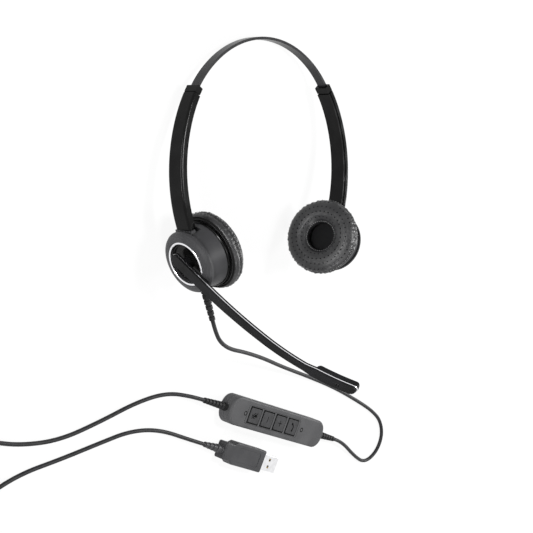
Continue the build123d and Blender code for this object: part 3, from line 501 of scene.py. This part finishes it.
def share_of(reach, level):
    """How far along the section the point nearest to a radius and a level lies."""

    def distance(share):
        point = section_point(share)
        return hypot(point[0] - reach, point[1] - level)

    return min([step / share_steps for step in range(share_steps + 1)], key=distance)


seam_share = share_of(0.0260, 0.0060)
seam_pinch = 0.0013
seam_half_width = 0.0016
seam_flat = 0.0008
fold_depth = 0.00085
fold_lean = 0.6
fold_reach_face = 0.0042
fold_reach_back = 0.0036
sag_depth = 0.0002
sag_reach = 0.009


def crease(spoke, row):
    """How far the gathered leather sinks between its folds, at one point of the ring."""
    bearing = 2 * pi * spoke / cushion_spokes
    from_seam = (row / cushion_rows - seam_share) * section_length
    folds = (
        sin(47 * bearing + 1.6 * sin(5 * bearing)) + 0.7 * sin(31 * bearing + 2.1 * sin(7 * bearing) + 1)
        + 0.5 * sin(71 * bearing + 1.2 * sin(3 * bearing) + 2)
    ) / 2.2
    reach = fold_reach_face if from_seam < 0 else fold_reach_back
    near = max(1 - abs(from_seam) / reach, 0)
    sink = fold_depth * (folds - fold_lean) * near * min(abs(from_seam) / seam_flat, 1)
    sag = sin(9 * bearing + 0.7) * sin(4 * bearing)
    return sink + sag_depth * sag * max(1 - abs(from_seam) / sag_reach, 0)


def make_cushion(name):
    """The leatherette ring in its cup's own frame, unwrapped round it and across it."""
    ring = bmesh.new()
    unwrapped = ring.loops.layers.uv.new("round_and_across")
    grid = []
    for row in range(cushion_rows + 1):
        share = row / cushion_rows
        reach, level = section_point(share)
        outward = section_outward(share)
        pinch = seam_pinch * max(1 - abs(share - seam_share) * section_length / seam_half_width, 0) ** 1.5
        line = []
        for spoke in range(cushion_spokes):
            bearing = 2 * pi * spoke / cushion_spokes
            lift = crease(spoke, row) - pinch
            out = reach + outward[0] * lift
            height = cushion_low + level + outward[1] * lift
            line.append(ring.verts.new((out * cos(bearing), out * sin(bearing), height)))
        grid.append(line)
    for row in range(cushion_rows):
        for spoke in range(cushion_spokes):
            after = (spoke + 1) % cushion_spokes
            lower = grid[row]
            upper = grid[row + 1]
            face = ring.faces.new((lower[spoke], lower[after], upper[after], upper[spoke]))
            face.smooth = True
            steps = ((spoke, row), (spoke + 1, row), (spoke + 1, row + 1), (spoke, row + 1))
            for loop, (round_step, across_step) in zip(face.loops, steps):
                loop[unwrapped].uv = (round_step / cushion_spokes, across_step / cushion_rows)
    return put_shapes(name, ring)


pebbles_a_metre = 2300.0
creases_round = 44.0
creases_across = 5.0
leather_finish = Finish("black_leatherette", mirror=0.42)
pebble = leather_finish.start.node(
    "TexVoronoi", {"feature": "DISTANCE_TO_EDGE"}, {"Vector": leather_finish.place, "Scale": pebbles_a_metre},
)
pebbles = pebble.between(0.0, 0.2)
rubbed = leather_finish.noise(0.007, detail=4.0).between(0.35, 0.75)
round_share = leather_finish.unwrapped.part(0)
across_share = leather_finish.unwrapped.part(1)
off_seam = (across_share - seam_share).size() * section_length
seam_shadow = 1.0 - off_seam.between(0.0001, 0.0005)
near_seam = 1.0 - off_seam.between(0.001, 0.006)
skin = rubbed.blend((0.010, 0.010, 0.011), (0.022, 0.022, 0.023))
leather_finish.feed("Base Color", seam_shadow.blend(skin, (0.001, 0.001, 0.001)))
leather_finish.feed("Roughness", rubbed * 0.1 + (1.0 - pebbles) * 0.08 + seam_shadow * 0.4 + 0.29)
wrinkle_place = leather_finish.start.node(
    "CombineXYZ", {}, {0: round_share * creases_round, 1: across_share * creases_across, 2: 0.5},
)
wrinkles = leather_finish.start.node(
    "TexNoise", {}, {"Vector": wrinkle_place, "Scale": 1.0, "Detail": 3.0, "Distortion": 0.4},
)
leather_height = pebbles * 0.07 + wrinkles * (near_seam * 0.9 + 0.2) - seam_shadow * 1.0
leather_finish.relief(leather_height, depth=0.00035, strength=0.8)

# The cushions' holes and stitches: four rings of small holes punched through the face, drawn as flat
# near-black caps on the leather that are painted shade for the dark inside of each hole, and pale polyester
# thread, sewn round the mouth of the hole and along the side's seam. Each row gives a place on the section,
# how many go round, and where the first one is.
hole_shade_rings = (
    (share_of(0.0132, 0.0109), 28, 0.0), (share_of(0.0168, 0.0119), 34, 0.5),
    (share_of(0.0204, 0.0115), 40, 0.0), (share_of(0.0238, 0.0098), 46, 0.5),
)
mouth_stitches = ((share_of(0.0104, 0.0083), 44, 0.0),)
seam_stitches = ((seam_share - 0.022, 78, 0.0),)
hole_shade_size = {"long": 0.00048, "wide": 0.00048, "high": 0.00006}
mouth_stitch_size = {"long": 0.00050, "wide": 0.00031, "high": 0.00026}
seam_stitch_size = {"long": 0.00042, "wide": 0.00017, "high": 0.00010}
bead_sides = 12
bead_profile = ((1.0, -0.4), (0.7, 0.7))
# Near-black finish of the hole caps: painted shade for the inside of each hole.
hole_shade_finish = Finish("painted_hole_shade", (0.0006, 0.0006, 0.0006), mirror=0.0)
hole_shade_finish.wear(cell=0.0005, least=0.92, more=0.05)
thread_finish = Finish("sewing_thread", roughness=0.7)
thread_finish.mottle(cell=0.0006, first=(0.24, 0.24, 0.24), second=(0.42, 0.42, 0.42))


def ring_of_beads(name, places, finish, long, wide, high):
    """Small round caps that lie on the leather: painted shade for one hole, or one stitch each."""
    corners = []
    faces = []
    for share, count, start in places:
        reach, level = section_point(share)
        outward = section_outward(share)
        lean = Vector((outward[0], 0, outward[1])).to_track_quat("Z", "Y").to_matrix().to_4x4()
        for number in range(count):
            turn = Matrix.Rotation(2 * pi * (number + start) / count, 4, "Z")
            place = turn @ Matrix.Translation((reach, 0, cushion_low + level)) @ lean
            first = len(corners)
            for out, up in bead_profile:
                for side in range(bead_sides):
                    bearing = 2 * pi * side / bead_sides
                    corner = Vector((wide * out * cos(bearing), long * out * sin(bearing), high * up))
                    corners.append(place @ corner)
            corners.append(place @ Vector((0, 0, high)))
            corners.append(place @ Vector((0, 0, -high)))
            upper = first + bead_sides
            top = upper + bead_sides
            for side in range(bead_sides):
                after = (side + 1) % bead_sides
                faces.append((first + side, first + after, upper + after, upper + side))
                faces.append((upper + side, upper + after, top))
                faces.append((first + after, first + side, top + 1))
    mesh = bpy.data.meshes.new(name)
    mesh.from_pydata(corners, [], faces)
    for face in mesh.polygons:
        face.use_smooth = True
    piece = put(name, mesh)
    finish.on(piece)
    return piece


# The piping: a cord covered in the same leatherette, sewn round the back edge of each cushion, where it is
# drawn over the plate; it is coloured darker than the cushion, as painted shade where the cushion's back
# meets the plate.
# The pieces of a cushion are set in the cup together; the right one is turned, so that the two don't crease
# alike.
piping_radius = 0.0007
piping_share = 0.97
piping_reach, piping_level = section_point(piping_share)
cushion_turns = {"left": 0.0, "right": 2.4}
# Darker than the cushion's leatherette: partly the piping's own black, partly painted shade at the plate.
piping_and_shade_finish = Finish("piping", (0.004, 0.004, 0.004), mirror=0.1)
piping_and_shade_finish.wear(cell=0.001, least=0.6, more=0.2)


def make_piping(name):
    """The thin round ring at the cushion's back edge."""
    bpy.ops.mesh.primitive_torus_add(
        major_radius=piping_reach, minor_radius=piping_radius, major_segments=96, minor_segments=10,
        location=(0, 0, cushion_low + piping_level),
    )
    piping = bpy.context.object
    piping.name = name
    piping.data.transform(Matrix.Translation(piping.location))
    piping.location = (0, 0, 0)
    for face in piping.data.polygons:
        face.use_smooth = True
    piping_and_shade_finish.on(piping)
    return piping


for side, turn in cushion_turns.items():
    placed = cup_places[side] @ Matrix.Rotation(turn, 4, "Z")
    cushion = make_cushion(f"{side}_leather_cushion")
    leather_finish.on(cushion)
    # The hole caps are painted shade, standing in for the dark inside of the punched holes.
    hole_shade_caps = ring_of_beads(f"{side}_cushion_hole_shade", hole_shade_rings, hole_shade_finish, **hole_shade_size)
    sewn = ring_of_beads(f"{side}_cushion_stitches", mouth_stitches, thread_finish, **mouth_stitch_size)
    seam = ring_of_beads(f"{side}_seam_stitches", seam_stitches, thread_finish, **seam_stitch_size)
    for piece in (cushion, hole_shade_caps, sewn, seam, make_piping(f"{side}_cushion_piping")):
        piece.data.transform(placed)
        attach(piece, f"{side}_cup")
    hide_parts(f"{side}_ear_cushion")

# The boom: two slim satin shells snapped together over the microphone's wires, from the
# hub that turns in the cup to the tip that holds the microphone.
boom_finish = Finish("satin_boom", mirror=0.08)
boom_grain = boom_finish.noise(0.0003, detail=2.0)
boom_finish.mottle(cell=0.012, first=(0.006, 0.006, 0.006), second=(0.010, 0.010, 0.011))
boom_finish.feed("Roughness", boom_grain * 0.14 + 0.33)
boom_finish.relief(boom_grain, depth=0.00003, strength=0.5)
boom_finish.on("boom_outer_shell", "boom_inner_shell")

# The boom's bright line: a thin strip of plated plastic, let in between the two shells along the whole boom;
# its brightness also paints the highlight on the edge where the two shells meet.
# Bright plated finish of the line: real trim, and painted highlight along the shells' edge.
trim_and_highlight_finish = Finish("trim_line_painted_highlight", (0.86, 0.86, 0.88), metallic=1.0)
trim_and_highlight_finish.wear(cell=0.002, least=0.22, more=0.15)
trim_and_highlight_finish.on("boom_trim")

# The button box: two dark grey ABS shells with a fine pebbled texture from the mould,
# screwed together round the circuit board.
grains_a_metre = 2400.0
shell_finish = Finish("textured_box_shell", mirror=0.12)
shell_grain = shell_finish.start.node(
    "TexVoronoi", {}, {"Vector": shell_finish.place, "Scale": grains_a_metre},
)
shell_finish.mottle(cell=0.015, first=(0.048, 0.048, 0.050), second=(0.062, 0.062, 0.064))
shell_finish.feed("Roughness", shell_grain * 0.18 + 0.38)
shell_finish.relief(shell_grain, depth=0.00006, strength=0.5)
shell_finish.on("box_top", "box_bottom")

# The keys: four soft silicone rubber keys that stand a little proud of the box, each in
# its own opening.
key_finish = Finish("rubber_key", mirror=0.12)
key_finish.mottle(cell=0.004, first=(0.026, 0.026, 0.027), second=(0.036, 0.036, 0.038))
key_finish.wear(cell=0.001, least=0.45, more=0.2)
key_finish.relief(key_finish.noise(0.0004, detail=2.0), depth=0.00003, strength=0.5)
key_finish.on(*key_names)

# The keys' signs: plain symbols pad-printed in black on the rubber: a crossed-out
# microphone, a minus, a plus and a handset. Each bar of a sign gives its middle, length,
# width and heading, in the box's own frame.
box_frame = Matrix.Translation((0.057, -0.1805, 0)) @ Matrix.Rotation(radians(-22), 4, "Z")
key_top = 0.0120
key_places = (-0.0319, -0.0157, 0.0005, 0.0167)
print_and_shade_lift = 0.00001
print_and_shade_thickness = 0.00004
stroke = 0.00055
# One near-black finish serves the printed signs and also the painted shade of the gaps round the keys.
print_and_gap_shade_finish = Finish("key_print_and_gap_shade", (0.002, 0.002, 0.002), mirror=0.05)
print_and_gap_shade_finish.wear(cell=0.0006, least=0.8, more=0.1)


def flat_bars(name, bars, level):
    """Thin flat dark bars at one level of the box, as one piece: printed signs, and painted shade over the
    gaps.
    """
    shapes = bmesh.new()
    for across, up, length, width, heading in bars:
        middle = Matrix.Translation((across, up, level + print_and_shade_lift + print_and_shade_thickness / 2))
        scale = Matrix.Diagonal((length, width, print_and_shade_thickness, 1))
        bmesh.ops.create_cube(shapes, size=1, matrix=middle @ Matrix.Rotation(heading, 4, "Z") @ scale)
    shapes.transform(box_frame)
    piece = put_shapes(name, shapes)
    print_and_gap_shade_finish.on(piece)
    return piece


def arc_bars(across, up, reach, width, start, end, count):
    """A bent line of short bars round a middle."""
    step = (end - start) / count
    length = reach * abs(step) * 1.15
    bearings = [start + (number + 0.5) * step for number in range(count)]
    return [
        (across + reach * cos(bearing), up + reach * sin(bearing), length, width, bearing + pi / 2)
        for bearing in bearings
    ]


signs = {
    "mute": [
        (0.0008, 0, 0.0030, 0.0017, 0), *arc_bars(0.0002, 0, 0.0019, stroke, pi / 2, 3 * pi / 2, 8),
        (-0.0026, 0, 0.0010, stroke, 0), (-0.0032, 0, stroke, 0.0024, 0),
        (-0.0002, 0, 0.0076, stroke, radians(38)),
    ],
    "volume_down": [(0, 0, stroke, 0.0044, 0)],
    "volume_up": [(0, 0, stroke, 0.0044, 0), (0, 0, 0.0044, stroke, 0)],
    "call": [
        *arc_bars(-0.0016, -0.0006, 0.0030, 0.0010, radians(-38), radians(78), 9),
        (0.0008, -0.0026, 0.0016, 0.0014, radians(-40)), (-0.0008, 0.0024, 0.0016, 0.0014, radians(-12)),
    ],
}
for place, (key, bars) in zip(key_places, signs.items()):
    sign = flat_bars(f"{key}_sign", [(place + bar[0], *bar[1:]) for bar in bars], key_top)
    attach(sign, f"{key}_button")

# The painted shade round the keys and the two light pipes, where the box's openings leave a gap: dark lines
# laid flat on the top shell, standing in for the shade down in the gaps.
box_height = 0.0115
key_length = 0.0124
key_width = 0.0108
gap_width = 0.0009
pipe_gap_radius = 0.0014
pipe_gap_width = 0.0006
light_places = (-0.0430, 0.0304)
gap_shade_bars = []
for place in key_places:
    for side in (-1, 1):
        beside = place + side * (key_length + gap_width) / 2
        above = side * (key_width + gap_width) / 2
        gap_shade_bars.append((beside, 0, gap_width, key_width + 2 * gap_width, 0))
        gap_shade_bars.append((place, above, key_length, gap_width, 0))
for place in light_places:
    gap_shade_bars += arc_bars(place, 0, pipe_gap_radius, pipe_gap_width, 0, 2 * pi, 20)
# These bars are painted shade, not print: the dark of the gaps round the keys and the light pipes.
key_gap_shade = flat_bars("key_gap_shade", gap_shade_bars, box_height)
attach(key_gap_shade, "left_cup")

# The circuit board: glass-fibre laminate under green solder mask, on two posts in the
# box, with four switches; and the light pipes over it, smoked clear acrylic.
board_finish = Finish("circuit_board", roughness=0.4)
board_finish.mottle(cell=0.002, first=(0.015, 0.11, 0.055), second=(0.025, 0.17, 0.085), low=0.4, high=0.6)
board_finish.on("box_board")
pipe_finish = Finish("light_pipe", (0.07, 0.07, 0.072), mirror=0.1)
pipe_finish.wear(cell=0.001, least=0.2, more=0.1)
pipe_finish.on("box_lights")

# The plug: a grip of the same satin plastic, moulded over a standard shell of folded,
# nickel-plated steel, round a pale tongue with four gold-plated contacts.
satin_finish.on("plug_grip")
nickel_finish = Finish("bright_nickel", metallic=1.0)
nickel_finish.mottle(cell=0.003, first=(0.84, 0.84, 0.85), second=(0.74, 0.74, 0.75))
nickel_finish.wear(cell=0.0015, least=0.14, more=0.18, detail=4.0)
nickel_finish.on("plug_shell")
tongue_finish = Finish("plug_tongue", (0.75, 0.75, 0.74))
tongue_finish.wear(cell=0.001, least=0.4, more=0.2)
tongue_finish.on("plug_tongue")
gold_finish = Finish("gold_contacts", (0.85, 0.62, 0.25), metallic=1.0)
gold_finish.wear(cell=0.0008, least=0.15, more=0.2)
gold_finish.on("plug_contacts")
